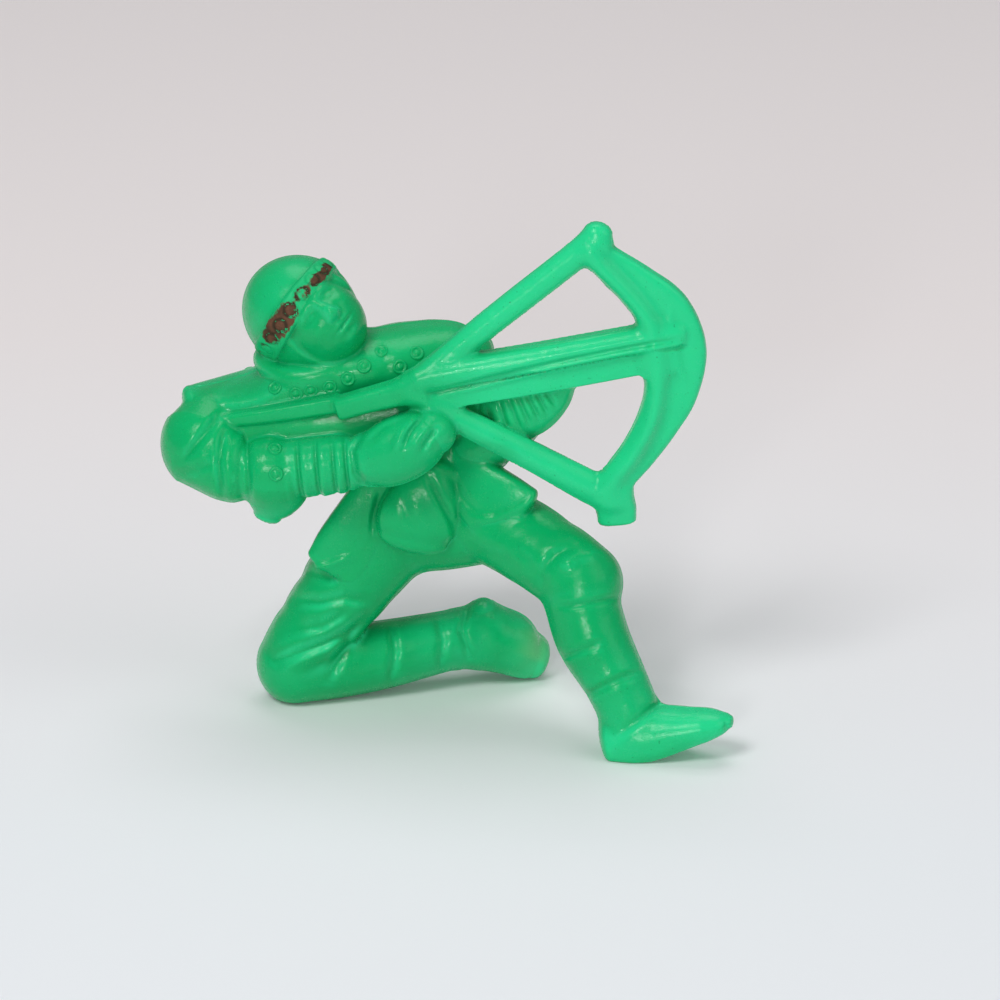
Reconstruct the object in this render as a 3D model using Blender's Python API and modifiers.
"""A kneeling toy crossbowman, moulded in green polythene, built from the forms that its sculptor worked in.

The figure faces -Y, its left hand is at +X and +Z is up. It kneels on its right knee and shin, and stands on
its left heel and its right toes. Points and half sizes are in millimetres.
"""

import math

import bmesh
import bpy
from mathutils import Euler, Vector

MM = 0.001

# Seams, and where the figure's own origin stands so that its box is centred
SEAM_GAP = 0.2
FIGURE_PLACE = Vector((-0.2, 5.5, 0.0))

# Fineness of the cages
CAGE_SIDES = 8
BALL_SEGMENTS = 16
BALL_RINGS = 10
DRAWN_IN = 0.75 + 0.25 * math.cos(2 * math.pi / CAGE_SIDES)

# Crossbow, its stock running up to the bow on the viewer's right
STOCK_BUTT = Vector((-21.2, -5.7, 30.6))
STOCK_STEP = Vector((-9.9, -6.7, 32.0))
STOCK_NUT = Vector((-3.2, -7.5, 33.7))
STOCK_NOSE = Vector((21.4, -7.4, 37.9))
BUTT_HALF_WIDTH = 1.2
STOCK_HALF_WIDTH = 2.1
STOCK_HALF_DEPTH = 1.6
BOLT_RADIUS = 0.75
BOLT_TAIL = 0.08
BOLT_HEAD = 0.95
BOLT_RISE = 0.8
STRING_RADIUS = 1.3
STRING_NUT_OFFSET = 0.65
STRING_SEAT = 0.45
STRING_SINK = 0.8
PROD_HALF_DEPTH = 1.3
PROD_ROOT = Vector((21.2, -7.3, 37.6))
PROD_ROOT_HALF_WIDTH = 2.9
NOCK_HALF_WIDTH = 1.5
UPPER_LIMB_ROOT = Vector((20.1, -7.3, 40.9))
UPPER_LIMB_MIDDLE = Vector((17.7, -7.2, 43.8))
UPPER_LIMB_END = Vector((14.6, -7.1, 46.2))
UPPER_NOCK = Vector((13.9, -7.0, 49.5))
UPPER_ROOT_HALF_WIDTH = 2.5
UPPER_MIDDLE_HALF_WIDTH = 1.75
UPPER_END_HALF_WIDTH = 1.35
LOWER_LIMB_ROOT = Vector((21.1, -7.3, 33.5))
LOWER_LIMB_UPPER = Vector((20.0, -7.2, 30.6))
LOWER_LIMB_MIDDLE = Vector((18.4, -7.2, 27.8))
LOWER_LIMB_END = Vector((16.4, -7.1, 24.7))
LOWER_NOCK = Vector((16.1, -7.0, 20.0))
LOWER_ROOT_HALF_WIDTH = 2.45
LOWER_UPPER_HALF_WIDTH = 2.05
LOWER_MIDDLE_HALF_WIDTH = 1.75
LOWER_END_HALF_WIDTH = 1.45

# Head, tipped on to the stock and turned up towards the viewer
HEAD_CENTRE = Vector((-13.5, -0.5, 38.9))
HEAD_LEAN = math.radians(-55)
HEAD_TIP_BACK = math.radians(-22)
HEAD_TURN = math.radians(12)
CAP_RADII = Vector((5.3, 5.6, 5.6))
BAND_RADII = Vector((5.5, 5.8))
BAND_LOW = -0.1
BAND_HEIGHT = 1.5
FACE_RADII = Vector((3.8, 4.7, 4.7))
FACE_CENTRE = Vector((0.0, -1.5, -1.6))
COIF_RADII = Vector((5.1, 5.3, 6.1))
COIF_DROP = 0.4
COLLAR_HALF_WIDTH = 4.5
COLLAR_HALF_DEPTH = 4.3
NECK = Vector((-11.8, 0.1, 34.0))

# Trunk
CROTCH = Vector((-0.2, -1.2, 14.6))
PELVIS = Vector((-0.8, -0.8, 18.2))
WAIST = Vector((-2.2, -0.2, 23.2))
RIBS = Vector((-6.6, -0.4, 27.2))
CHEST = Vector((-9.9, -0.6, 29.3))
TRUNK_TOP = Vector((-9.6, 0.3, 32.2))
CROTCH_HALF_WIDTH = 3.6
PELVIS_HALF_WIDTH = 6.0
WAIST_HALF_WIDTH = 6.0
RIBS_HALF_WIDTH = 8.6
CHEST_HALF_WIDTH = 11.2
TRUNK_TOP_HALF_WIDTH = 8.0
TRUNK_HALF_DEPTH = 4.8
CAPE_RIGHT_EDGE = Vector((-24.9, -0.7, 30.6))
CAPE_RIGHT_TIP = Vector((-23.0, -0.4, 30.6))
CAPE_RIGHT_SHOULDER = Vector((-17.5, 0.1, 31.2))
CAPE_MIDDLE = Vector((-12.0, 0.2, 33.0))
CAPE_LEFT_SHOULDER = Vector((-4.0, 0.3, 34.2))
CAPE_LEFT_TIP = Vector((1.6, 0.6, 34.4))
CAPE_LEFT_EDGE = Vector((4.0, 0.7, 34.2))
CAPE_EDGE_HALF_HEIGHT = 0.6
CAPE_TIP_HALF_HEIGHT = 1.15
CAPE_SHOULDER_HALF_HEIGHT = 2.0
CAPE_HALF_HEIGHT = 3.1
CAPE_HALF_DEPTH = 5.4
CAPE_TIP_HALF_DEPTH = 3.2
CAPE_EDGE_HALF_DEPTH = 1.6

# Skirt of the tunic: where each panel leaves the waist, and the middle of its hem
PANEL_HALF_THICKNESS = 1.2
FLAP_HALF_THICKNESS = 1.8
LEFT_PANEL_TOP = Vector((0.2, -3.0, 25.0))
LEFT_PANEL_HEM = Vector((6.9, -7.0, 20.4))
LEFT_PANEL_HALF_WIDTH = 3.8
FRONT_FLAP_TOP = Vector((-1.1, -4.4, 24.6))
FRONT_FLAP_HEM = Vector((-3.3, -5.5, 17.2))
FRONT_FLAP_HALF_WIDTH = 3.8
RIGHT_PANEL_TOP = Vector((-5.2, -3.2, 23.0))
RIGHT_PANEL_HEM = Vector((-11.0, -4.4, 14.2))
RIGHT_PANEL_HALF_WIDTH = 3.4
BACK_PANEL_TOP = Vector((-1.7, 3.6, 24.0))
BACK_PANEL_HEM = Vector((-3.5, 5.0, 13.6))
BACK_PANEL_HALF_WIDTH = 6.8

# Right arm, its elbow out to the viewer's left and its hand on the trigger
RIGHT_SHOULDER = Vector((-20.0, 1.2, 30.0))
RIGHT_ARM_MIDDLE = Vector((-22.8, -1.2, 27.8))
RIGHT_ELBOW = Vector((-22.9, -3.8, 26.4))
CUFF_START = Vector((-19.0, -5.4, 24.4))
CUFF_POINT = Vector((-17.0, -6.0, 23.6))
CUFF_END = Vector((-14.4, -6.6, 24.4))
RIGHT_WRIST = Vector((-8.7, -7.5, 25.9))
RIGHT_PALM = Vector((-4.6, -8.4, 27.6))
RIGHT_FINGERTIPS = Vector((-0.2, -8.2, 30.6))
RIGHT_SHOULDER_RADIUS = 3.2
RIGHT_ELBOW_RADIUS = 4.3
CUFF_MOUTH_RADIUS = 2.8
CUFF_HALF_WIDTH = 3.9
FOREARM_RADIUS = 2.75
RIGHT_WRIST_RADIUS = 2.6
RIGHT_HAND_HALF_WIDTH = 3.0
RIGHT_HAND_HALF_DEPTH = 2.6

# Left arm, under the stock
LEFT_SHOULDER = Vector((-1.0, 1.3, 34.4))
LEFT_ELBOW = Vector((3.9, -2.4, 26.2))
LEFT_WRIST = Vector((6.4, -4.5, 29.8))
LEFT_FINGERTIPS = Vector((11.4, -5.6, 34.2))
LEFT_ARM_RADIUS = 3.3
LEFT_FOREARM_RADIUS = 2.7
LEFT_HAND_HALF_WIDTH = 3.0
LEFT_HAND_HALF_DEPTH = 2.1

# Right leg, kneeling
RIGHT_HIP = Vector((-4.0, 0.0, 19.2))
RIGHT_KNEE = Vector((-16.2, -0.8, 3.0))
RIGHT_CALF = Vector((-4.7, 1.0, 3.5))
RIGHT_ANKLE = Vector((3.0, 3.2, 4.9))
RIGHT_HEEL = Vector((5.6, 3.4, 5.0))
RIGHT_BALL = Vector((7.2, 4.2, 2.8))
RIGHT_TOES = Vector((7.1, 4.6, -0.6))
RIGHT_THIGH_HALF_WIDTH = 4.7
RIGHT_THIGH_HALF_DEPTH = 4.7
RIGHT_SHIN_RADIUS = 3.4
RIGHT_SHIN_HALF_DEPTH = 3.6
KNEE_REACH = 0.14
KNEE_SHARE = 0.8
RIGHT_ANKLE_RADIUS = 2.9
RIGHT_BOOT_RADIUS = 3.0
RIGHT_TOE_RADIUS = 2.0

# Left leg, foot forward with its toes off the floor
LEFT_HIP = Vector((2.6, -1.4, 19.6))
LEFT_KNEE = Vector((13.0, -9.7, 15.6))
LEFT_BOOT_TOP = Vector((12.9, -10.3, 14.4))
LEFT_CALF = Vector((13.8, -11.5, 10.4))
LEFT_ANKLE = Vector((16.8, -13.5, 4.0))
LEFT_HEEL = Vector((15.0, -14.0, 2.0))
LEFT_INSTEP = Vector((20.4, -15.0, 2.9))
LEFT_TOE = Vector((26.9, -16.2, 4.0))
LEFT_THIGH_RADIUS = 4.2
LEFT_KNEE_RADIUS = 3.9
LEFT_SHIN_RADIUS = 3.5
LEFT_ANKLE_RADIUS = 3.0
LEFT_BOOT_RADIUS = 2.9
LEFT_TOE_RADIUS = 0.8

# Swell of each form: how far along it is from its first point to its last, and its share of the girth there
STRAIGHT = ((0.0, 1.0), (0.5, 1.0), (1.0, 1.0))
HAND_SWELL = ((0.0, 0.8), (0.4, 1.0), (0.75, 0.9), (1.0, 0.55))
COLLAR_SWELL = ((0.0, 0.95), (0.6, 1.0), (1.1, 1.05))
FOREARM_SWELL = ((-0.15, 1.0), (0.5, 1.0), (1.35, 0.7))
LEFT_SLEEVE_SWELL = ((0.0, 0.95), (0.35, 1.0), (0.7, 1.0), (1.1, 0.95))
PANEL_SWELL = ((0.0, 0.65), (0.3, 0.9), (0.75, 1.0), (1.0, 0.85))
BACK_SWELL = ((0.0, 0.9), (0.35, 0.97), (0.75, 1.0), (1.0, 0.9))
RIGHT_THIGH_SWELL = ((-0.05, 1.1), (0.2, 1.12), (0.45, 1.06), (0.72, 0.92), (1.0, 0.84))
LEFT_THIGH_SWELL = ((-0.1, 1.08), (0.25, 1.04), (0.7, 0.98))

# Colours, linear
POLYTHENE_GREEN = (0.014, 0.42, 0.145, 1.0)
WORN_BROWN = (0.09, 0.045, 0.025, 1.0)

DEPTH_AXIS = Vector((0, 1, 0))


def plastic(name, colour, roughness):
    """A plain moulded or painted finish."""
    material = bpy.data.materials.new(name)
    material.use_nodes = True
    shader = material.node_tree.nodes["Principled BSDF"]
    shader.inputs["Base Color"].default_value = colour
    shader.inputs["Roughness"].default_value = roughness
    shader.inputs["Metallic"].default_value = 0.0
    return material


def new_object(name, cage):
    """The cage as an object at the frame's origin, with its bmesh freed."""
    bmesh.ops.recalc_face_normals(cage, faces=cage.faces)
    mesh = bpy.data.meshes.new(name)
    cage.to_mesh(mesh)
    cage.free()
    mesh.shade_smooth()
    return bpy.data.objects.new(name, mesh)


def tapered(start, end, half_width, half_depth, swell):
    """Stations from start to end, where swell lists how far along each is and its share of the full girth."""
    return [(start.lerp(end, t), half_width * share, half_depth * share) for t, share in swell]


def station_axes(stations):
    """Along, across and depth directions at each station, carried from one to the next without twist."""
    axes = []
    depth = DEPTH_AXIS
    for index in range(len(stations)):
        before = stations[max(index - 1, 0)][0]
        after = stations[min(index + 1, len(stations) - 1)][0]
        along = (after - before).normalized()
        depth = (depth - along * depth.dot(along)).normalized()
        axes.append((along, depth.cross(along), depth))
    return axes


def form(stations):
    """A builder of a soft limb: oval rings carried through the stations, smoothed by subdivision."""

    def build(name, grow):
        cage = bmesh.new()
        rings = []
        last = len(stations) - 1
        axes = station_axes(stations)
        for index, (centre, half_width, half_depth) in enumerate(stations):
            along, across, depth = axes[index]
            end_shift = grow * ((index == last) - (index == 0))
            ring = []
            for side in range(CAGE_SIDES):
                angle = 2 * math.pi * side / CAGE_SIDES
                reach = across * math.cos(angle) * (half_width + grow)
                reach += depth * math.sin(angle) * (half_depth + grow)
                ring.append(cage.verts.new((centre + along * end_shift + reach / DRAWN_IN) * MM))
            rings.append(ring)
        for ring, following in zip(rings, rings[1:]):
            for side in range(CAGE_SIDES):
                beside = (side + 1) % CAGE_SIDES
                cage.faces.new((ring[side], ring[beside], following[beside], following[side]))
        cage.faces.new(rings[0])
        cage.faces.new(rings[last])
        limb = new_object(name, cage)
        smoothing = limb.modifiers.new("Smooth", "SUBSURF")
        smoothing.levels = 1
        smoothing.render_levels = 1
        return limb

    return build


def ball(centre, radii, keep):
    """A builder of an ellipsoid in the head's own axes, kept above the middle of the band or below it."""
    level = Vector((0, 0, BAND_LOW + BAND_HEIGHT / 2))

    def build(name, grow):
        cage = bmesh.new()
        bmesh.ops.create_uvsphere(cage, u_segments=BALL_SEGMENTS, v_segments=BALL_RINGS, radius=1.0)
        bmesh.ops.scale(cage, verts=cage.verts, vec=(radii + Vector((grow, grow, grow))) * MM)
        bmesh.ops.translate(cage, verts=cage.verts, vec=centre * MM)
        bmesh.ops.bisect_plane(
            cage,
            geom=cage.verts[:] + cage.edges[:] + cage.faces[:],
            plane_co=level * MM,
            plane_no=(0, 0, 1),
            clear_inner=keep == "above",
            clear_outer=keep == "below",
        )
        rim = [edge for edge in cage.edges if edge.is_boundary]
        bmesh.ops.holes_fill(cage, edges=rim)
        return new_object(name, cage)

    return build


def disc(low, height, radii):
    """A builder of an oval slab of the head, in the head's own axes."""

    def build(name, grow):
        cage = bmesh.new()
        thickness = (height + 2 * grow) * MM
        bmesh.ops.create_cone(
            cage, cap_ends=True, segments=2 * BALL_SEGMENTS, radius1=1.0, radius2=1.0, depth=thickness
        )
        bmesh.ops.scale(cage, verts=cage.verts, vec=((radii.x + grow) * MM, (radii.y + grow) * MM, 1.0))
        bmesh.ops.translate(cage, verts=cage.verts, vec=(0, 0, (low + height / 2) * MM))
        return new_object(name, cage)

    return build


def below_floor():
    """The block that cuts the knee, the heel and the toes flat where they stand."""
    side = 4 * (LEFT_TOE - RIGHT_KNEE).length * MM
    depth = 4 * (RIGHT_SHIN_RADIUS + LEFT_BOOT_RADIUS) * MM
    cage = bmesh.new()
    bmesh.ops.create_cube(cage, size=1.0)
    bmesh.ops.scale(cage, verts=cage.verts, vec=(side, side, depth))
    bmesh.ops.translate(cage, verts=cage.verts, vec=(0, 0, -depth / 2))
    return new_object("floor_cutter", cage)


class Figure:
    """The pieces in the order in which they give way: each is cut back from all that came before it."""

    def __init__(self):
        self.parts = self.collection("toy_crossbowman")
        self.cutters = self.collection("cutters")
        self.root = self.empty("figure_root", None)
        self.root.location = FIGURE_PLACE * MM
        self.head = self.empty("head_root", self.root)
        self.head.location = HEAD_CENTRE * MM
        self.head.rotation_mode = "ZYX"
        self.head.rotation_euler = Euler((HEAD_TIP_BACK, HEAD_LEAN, HEAD_TURN), "ZYX")
        self.placed = []
        self.add_cutter(below_floor(), self.root)

    def collection(self, name):
        made = bpy.data.collections.new(name)
        bpy.context.scene.collection.children.link(made)
        return made

    def empty(self, name, parent):
        made = bpy.data.objects.new(name, None)
        self.parts.objects.link(made)
        made.parent = parent
        return made

    def add_cutter(self, cutter, parent):
        self.cutters.objects.link(cutter)
        cutter.parent = parent
        cutter.hide_render = True
        cutter.display_type = "WIRE"
        self.placed.append(cutter)

    def add(self, name, build, material, parent=None):
        """Adds a piece, cut back from every earlier piece that reaches into it."""
        parent = parent or self.root
        piece = build(name, 0.0)
        self.parts.objects.link(piece)
        piece.parent = parent
        piece.data.materials.append(material)
        bpy.context.view_layer.update()
        for cutter in self.placed:
            if meets(piece, cutter):
                seam = piece.modifiers.new("Seam " + cutter.name, "BOOLEAN")
                seam.operation = "DIFFERENCE"
                seam.solver = "MANIFOLD"
                seam.object = cutter
        self.add_cutter(build(name + "_cutter", SEAM_GAP), parent)


def corners(thing):
    """Lowest and highest corner of an object's uncut box, in the world."""
    points = [thing.matrix_world @ Vector(corner) for corner in thing.bound_box]
    low = [min(point[axis] for point in points) for axis in range(3)]
    high = [max(point[axis] for point in points) for axis in range(3)]
    return low, high


def meets(one, other):
    """Whether the boxes of two objects reach into each other."""
    bpy.context.view_layer.update()
    low, high = corners(one)
    other_low, other_high = corners(other)
    return all(low[axis] < other_high[axis] and other_low[axis] < high[axis] for axis in range(3))


def bow_limb(limb, nock, overlap):
    """A limb's stations from past the middle of the bow, tapering to its nock."""
    away = (PROD_ROOT - limb[0][0]).normalized()
    path = [(PROD_ROOT + away * overlap, PROD_ROOT_HALF_WIDTH, PROD_HALF_DEPTH)]
    path += [(point, half_width, PROD_HALF_DEPTH) for point, half_width in limb]
    path.append((nock, NOCK_HALF_WIDTH, PROD_HALF_DEPTH))
    return path


def add_crossbow(figure, green):
    """The bent bow in two limbs, the stock, its bolt, and the string drawn to the nut in two halves."""
    upper = (
        (UPPER_LIMB_ROOT, UPPER_ROOT_HALF_WIDTH),
        (UPPER_LIMB_MIDDLE, UPPER_MIDDLE_HALF_WIDTH),
        (UPPER_LIMB_END, UPPER_END_HALF_WIDTH),
    )
    lower = (
        (LOWER_LIMB_ROOT, LOWER_ROOT_HALF_WIDTH),
        (LOWER_LIMB_UPPER, LOWER_UPPER_HALF_WIDTH),
        (LOWER_LIMB_MIDDLE, LOWER_MIDDLE_HALF_WIDTH),
        (LOWER_LIMB_END, LOWER_END_HALF_WIDTH),
    )
    figure.add("bow_limb_upper", form(bow_limb(upper, UPPER_NOCK, 0.0)), green)
    figure.add("bow_limb_lower", form(bow_limb(lower, LOWER_NOCK, PROD_ROOT_HALF_WIDTH)), green)
    stock = [
        (STOCK_BUTT, BUTT_HALF_WIDTH, BUTT_HALF_WIDTH),
        (STOCK_BUTT.lerp(STOCK_STEP, 0.1), BUTT_HALF_WIDTH, BUTT_HALF_WIDTH),
        (STOCK_STEP, BUTT_HALF_WIDTH, BUTT_HALF_WIDTH),
        (STOCK_NUT, STOCK_HALF_WIDTH, STOCK_HALF_DEPTH),
        (STOCK_NUT.lerp(STOCK_NOSE, 0.5), STOCK_HALF_WIDTH, STOCK_HALF_DEPTH),
        (STOCK_NOSE, STOCK_HALF_WIDTH, STOCK_HALF_DEPTH),
    ]
    figure.add("crossbow_stock", form(stock), green)

    upwards = (STOCK_NOSE - STOCK_NUT).cross(DEPTH_AXIS).normalized()
    lift = upwards * BOLT_RISE - DEPTH_AXIS * STOCK_HALF_DEPTH
    tail = STOCK_NUT.lerp(STOCK_NOSE, BOLT_TAIL) + lift
    head = STOCK_NUT.lerp(STOCK_NOSE, BOLT_HEAD) + lift
    figure.add("crossbow_bolt", form(tapered(tail, head, BOLT_RADIUS, BOLT_RADIUS, STRAIGHT)), green)

    halves = (
        ("bowstring_upper", UPPER_LIMB_END, UPPER_NOCK, 1),
        ("bowstring_lower", LOWER_LIMB_END, LOWER_NOCK, -1),
    )
    for name, limb_end, nock, side in halves:
        start = STOCK_NUT + upwards * side * STRING_NUT_OFFSET
        seat = limb_end.lerp(nock, STRING_SEAT)
        end = seat + (seat - start).normalized() * STRING_SINK
        figure.add(name, form(tapered(start, end, STRING_RADIUS, STRING_RADIUS, STRAIGHT)), green)


def add_hands(figure, green):
    """Trigger hand below the nut and supporting hand under the stock."""
    right = [
        (RIGHT_WRIST, RIGHT_WRIST_RADIUS, RIGHT_WRIST_RADIUS),
        (RIGHT_WRIST.lerp(RIGHT_PALM, 0.5), RIGHT_HAND_HALF_WIDTH, RIGHT_HAND_HALF_DEPTH),
        (RIGHT_PALM, RIGHT_HAND_HALF_WIDTH, RIGHT_HAND_HALF_DEPTH),
        (RIGHT_PALM.lerp(RIGHT_FINGERTIPS, 0.6), 0.85 * RIGHT_HAND_HALF_WIDTH, 0.9 * RIGHT_HAND_HALF_DEPTH),
        (RIGHT_FINGERTIPS, 0.5 * RIGHT_HAND_HALF_WIDTH, 0.6 * RIGHT_HAND_HALF_DEPTH),
    ]
    figure.add("right_hand", form(right), green)
    left = tapered(LEFT_WRIST, LEFT_FINGERTIPS, LEFT_HAND_HALF_WIDTH, LEFT_HAND_HALF_DEPTH, HAND_SWELL)
    figure.add("left_hand", form(left), green)


def add_head(figure, green, brown):
    """Headband, skull cap, face and coif in the head's own axes, and the coif's collar on the neck."""
    figure.add("headband", disc(BAND_LOW, BAND_HEIGHT, BAND_RADII), brown, figure.head)
    figure.add("face", ball(FACE_CENTRE, FACE_RADII, "below"), green, figure.head)
    figure.add("skull_cap", ball(Vector((0, 0, 0)), CAP_RADII, "above"), green, figure.head)
    figure.add("coif", ball(Vector((0, 0, -COIF_DROP)), COIF_RADII, "below"), green, figure.head)
    collar = tapered(HEAD_CENTRE, NECK, COLLAR_HALF_WIDTH, COLLAR_HALF_DEPTH, COLLAR_SWELL)
    figure.add("coif_collar", form(collar), green)


def add_cape(figure, green):
    """The studded cape, carried across the shoulders from the low right one to the raised left one."""
    cape = [
        (CAPE_RIGHT_EDGE, CAPE_EDGE_HALF_HEIGHT, CAPE_EDGE_HALF_DEPTH),
        (CAPE_RIGHT_TIP, CAPE_TIP_HALF_HEIGHT, CAPE_TIP_HALF_DEPTH),
        (CAPE_RIGHT_SHOULDER, CAPE_SHOULDER_HALF_HEIGHT, 0.95 * CAPE_HALF_DEPTH),
        (CAPE_MIDDLE, CAPE_HALF_HEIGHT, CAPE_HALF_DEPTH),
        (CAPE_LEFT_SHOULDER, CAPE_HALF_HEIGHT, 0.95 * CAPE_HALF_DEPTH),
        (CAPE_LEFT_TIP, 0.9 * CAPE_HALF_HEIGHT, CAPE_TIP_HALF_DEPTH),
        (CAPE_LEFT_EDGE, 0.5 * CAPE_HALF_HEIGHT, CAPE_EDGE_HALF_DEPTH),
    ]
    figure.add("shoulder_cape", form(cape), green)


def add_right_arm(figure, green):
    """Hanging bell cuff, banded forearm inside it, and the full sleeve from shoulder to cuff."""
    cuff = [
        (CUFF_START, CUFF_MOUTH_RADIUS, CUFF_MOUTH_RADIUS),
        (CUFF_POINT, CUFF_HALF_WIDTH, CUFF_HALF_WIDTH),
        (CUFF_END, CUFF_MOUTH_RADIUS, CUFF_MOUTH_RADIUS),
    ]
    figure.add("right_bell_cuff", form(cuff), green)
    forearm = tapered(CUFF_END, RIGHT_WRIST, FOREARM_RADIUS, FOREARM_RADIUS, FOREARM_SWELL)
    figure.add("right_forearm", form(forearm), green)
    sleeve = [
        (RIGHT_SHOULDER, RIGHT_SHOULDER_RADIUS, RIGHT_SHOULDER_RADIUS),
        (RIGHT_ARM_MIDDLE, RIGHT_ELBOW_RADIUS, RIGHT_ELBOW_RADIUS),
        (RIGHT_ELBOW, RIGHT_ELBOW_RADIUS, RIGHT_ELBOW_RADIUS),
        (RIGHT_ELBOW.lerp(CUFF_START, 0.6), 0.9 * RIGHT_ELBOW_RADIUS, 0.9 * RIGHT_ELBOW_RADIUS),
        (CUFF_START, 1.2 * CUFF_MOUTH_RADIUS, 1.2 * CUFF_MOUTH_RADIUS),
        (CUFF_POINT, CUFF_MOUTH_RADIUS, CUFF_MOUTH_RADIUS),
    ]
    figure.add("right_sleeve", form(sleeve), green)


def add_left_arm(figure, green):
    """Forearm and sleeve of the arm that carries the stock."""
    forearm = tapered(LEFT_ELBOW, LEFT_WRIST, LEFT_FOREARM_RADIUS, LEFT_FOREARM_RADIUS, FOREARM_SWELL)
    figure.add("left_forearm", form(forearm), green)
    sleeve = tapered(LEFT_SHOULDER, LEFT_ELBOW, LEFT_ARM_RADIUS, LEFT_ARM_RADIUS, LEFT_SLEEVE_SWELL)
    figure.add("left_sleeve", form(sleeve), green)


def add_skirt(figure, green):
    """The tunic's skirt: a panel over each thigh, a round flap in front and a wide panel behind."""
    thickness = PANEL_HALF_THICKNESS
    left = tapered(LEFT_PANEL_TOP, LEFT_PANEL_HEM, LEFT_PANEL_HALF_WIDTH, thickness, PANEL_SWELL)
    figure.add("skirt_left_panel", form(left), green)
    front = tapered(FRONT_FLAP_TOP, FRONT_FLAP_HEM, FRONT_FLAP_HALF_WIDTH, FLAP_HALF_THICKNESS, PANEL_SWELL)
    figure.add("skirt_front_flap", form(front), green)
    right = tapered(RIGHT_PANEL_TOP, RIGHT_PANEL_HEM, RIGHT_PANEL_HALF_WIDTH, thickness, PANEL_SWELL)
    figure.add("skirt_right_panel", form(right), green)
    back = tapered(BACK_PANEL_TOP, BACK_PANEL_HEM, BACK_PANEL_HALF_WIDTH, thickness, BACK_SWELL)
    figure.add("skirt_back_panel", form(back), green)


def add_boots(figure, green):
    """The kneeling foot bent up behind its toes, and the forward foot on its heel."""
    right = [
        (RIGHT_ANKLE, RIGHT_ANKLE_RADIUS, RIGHT_ANKLE_RADIUS),
        (RIGHT_HEEL, RIGHT_BOOT_RADIUS, RIGHT_BOOT_RADIUS),
        (RIGHT_BALL, 0.5 * (RIGHT_BOOT_RADIUS + RIGHT_TOE_RADIUS), 0.9 * RIGHT_BOOT_RADIUS),
        (RIGHT_TOES, RIGHT_TOE_RADIUS, RIGHT_TOE_RADIUS),
    ]
    figure.add("right_boot", form(right), green)
    left = [
        (LEFT_HEEL, LEFT_BOOT_RADIUS, LEFT_BOOT_RADIUS),
        (LEFT_HEEL.lerp(LEFT_INSTEP, 0.45), 1.1 * LEFT_BOOT_RADIUS, 1.05 * LEFT_BOOT_RADIUS),
        (LEFT_INSTEP, 0.88 * LEFT_BOOT_RADIUS, 0.92 * LEFT_BOOT_RADIUS),
        (LEFT_INSTEP.lerp(LEFT_TOE, 0.55), 0.6 * LEFT_BOOT_RADIUS, 0.7 * LEFT_BOOT_RADIUS),
        (LEFT_TOE, LEFT_TOE_RADIUS, LEFT_TOE_RADIUS),
    ]
    figure.add("left_boot", form(left), green)


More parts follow.
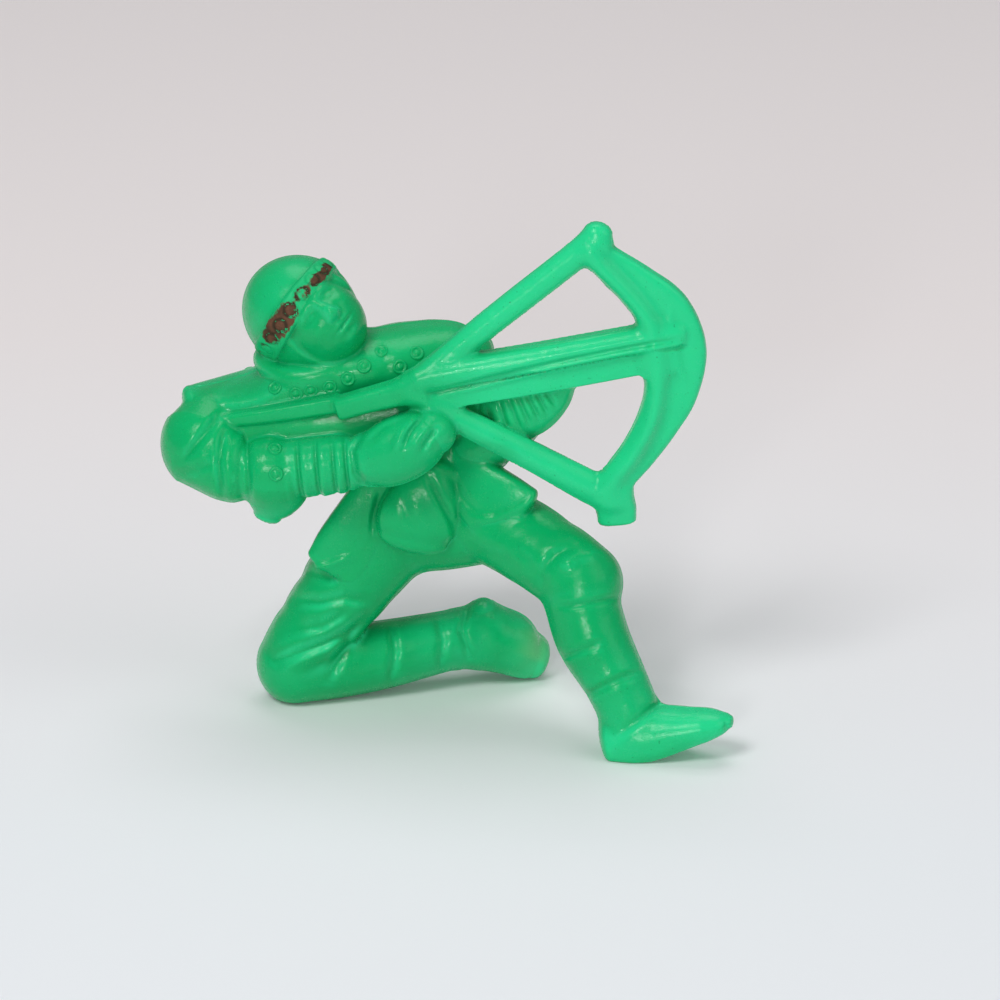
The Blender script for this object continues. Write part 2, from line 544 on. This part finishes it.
def add_shins(figure, green):
    """The shin that lies on the floor, and the upright one in its boot's shaft, each run into its boot."""
    knee_front = RIGHT_KNEE.lerp(RIGHT_CALF, -KNEE_REACH)
    narrow = 0.5 * (RIGHT_SHIN_RADIUS + RIGHT_ANKLE_RADIUS)
    right = [
        (knee_front, KNEE_SHARE * RIGHT_SHIN_RADIUS, KNEE_SHARE * RIGHT_SHIN_HALF_DEPTH),
        (RIGHT_KNEE, RIGHT_SHIN_RADIUS, RIGHT_SHIN_HALF_DEPTH),
        (RIGHT_KNEE.lerp(RIGHT_CALF, 0.4), RIGHT_SHIN_RADIUS, RIGHT_SHIN_HALF_DEPTH),
        (RIGHT_CALF, RIGHT_SHIN_RADIUS, RIGHT_SHIN_RADIUS),
        (RIGHT_CALF.lerp(RIGHT_ANKLE, 0.55), narrow, RIGHT_ANKLE_RADIUS),
        (RIGHT_HEEL, RIGHT_ANKLE_RADIUS, RIGHT_ANKLE_RADIUS),
    ]
    figure.add("right_shin", form(right), green)
    left = [
        (LEFT_BOOT_TOP, LEFT_SHIN_RADIUS, LEFT_SHIN_RADIUS),
        (LEFT_CALF, LEFT_SHIN_RADIUS, LEFT_SHIN_RADIUS),
        (LEFT_CALF.lerp(LEFT_ANKLE, 0.5), 0.5 * (LEFT_SHIN_RADIUS + LEFT_ANKLE_RADIUS), LEFT_SHIN_RADIUS),
        (LEFT_ANKLE, LEFT_ANKLE_RADIUS, LEFT_ANKLE_RADIUS),
        (LEFT_HEEL.lerp(LEFT_ANKLE, 0.3), 0.8 * LEFT_ANKLE_RADIUS, 0.8 * LEFT_ANKLE_RADIUS),
    ]
    figure.add("left_shin", form(left), green)


def add_thighs(figure, green):
    """The thigh down to the knee on the floor, and the one that goes over its knee into the boot's shaft."""
    right = tapered(RIGHT_HIP, RIGHT_KNEE, RIGHT_THIGH_HALF_WIDTH, RIGHT_THIGH_HALF_DEPTH, RIGHT_THIGH_SWELL)
    figure.add("right_thigh", form(right), green)
    left = tapered(LEFT_HIP, LEFT_KNEE, LEFT_THIGH_RADIUS, LEFT_THIGH_RADIUS, LEFT_THIGH_SWELL)
    left.append((LEFT_KNEE, LEFT_KNEE_RADIUS, LEFT_KNEE_RADIUS))
    left.append((LEFT_BOOT_TOP.lerp(LEFT_CALF, 0.4), LEFT_SHIN_RADIUS, LEFT_SHIN_RADIUS))
    figure.add("left_thigh", form(left), green)


def add_trunk(figure, green):
    """The tunic's body, which fills what the limbs, the cape and the skirt leave."""
    trunk = [
        (CROTCH, CROTCH_HALF_WIDTH, 0.8 * TRUNK_HALF_DEPTH),
        (PELVIS, PELVIS_HALF_WIDTH, TRUNK_HALF_DEPTH),
        (WAIST, WAIST_HALF_WIDTH, TRUNK_HALF_DEPTH),
        (RIBS, RIBS_HALF_WIDTH, TRUNK_HALF_DEPTH),
        (CHEST, CHEST_HALF_WIDTH, TRUNK_HALF_DEPTH),
        (TRUNK_TOP, TRUNK_TOP_HALF_WIDTH, 0.85 * TRUNK_HALF_DEPTH),
    ]
    figure.add("tunic_body", form(trunk), green)


def main():
    for thing in list(bpy.data.objects):
        bpy.data.objects.remove(thing)
    green = plastic("green_polythene", POLYTHENE_GREEN, 0.38)
    brown = plastic("brown_paint", WORN_BROWN, 0.6)
    figure = Figure()
    add_crossbow(figure, green)
    add_hands(figure, green)
    add_head(figure, green, brown)
    add_cape(figure, green)
    add_right_arm(figure, green)
    add_left_arm(figure, green)
    add_skirt(figure, green)
    add_boots(figure, green)
    add_shins(figure, green)
    add_thighs(figure, green)
    add_trunk(figure, green)


main()
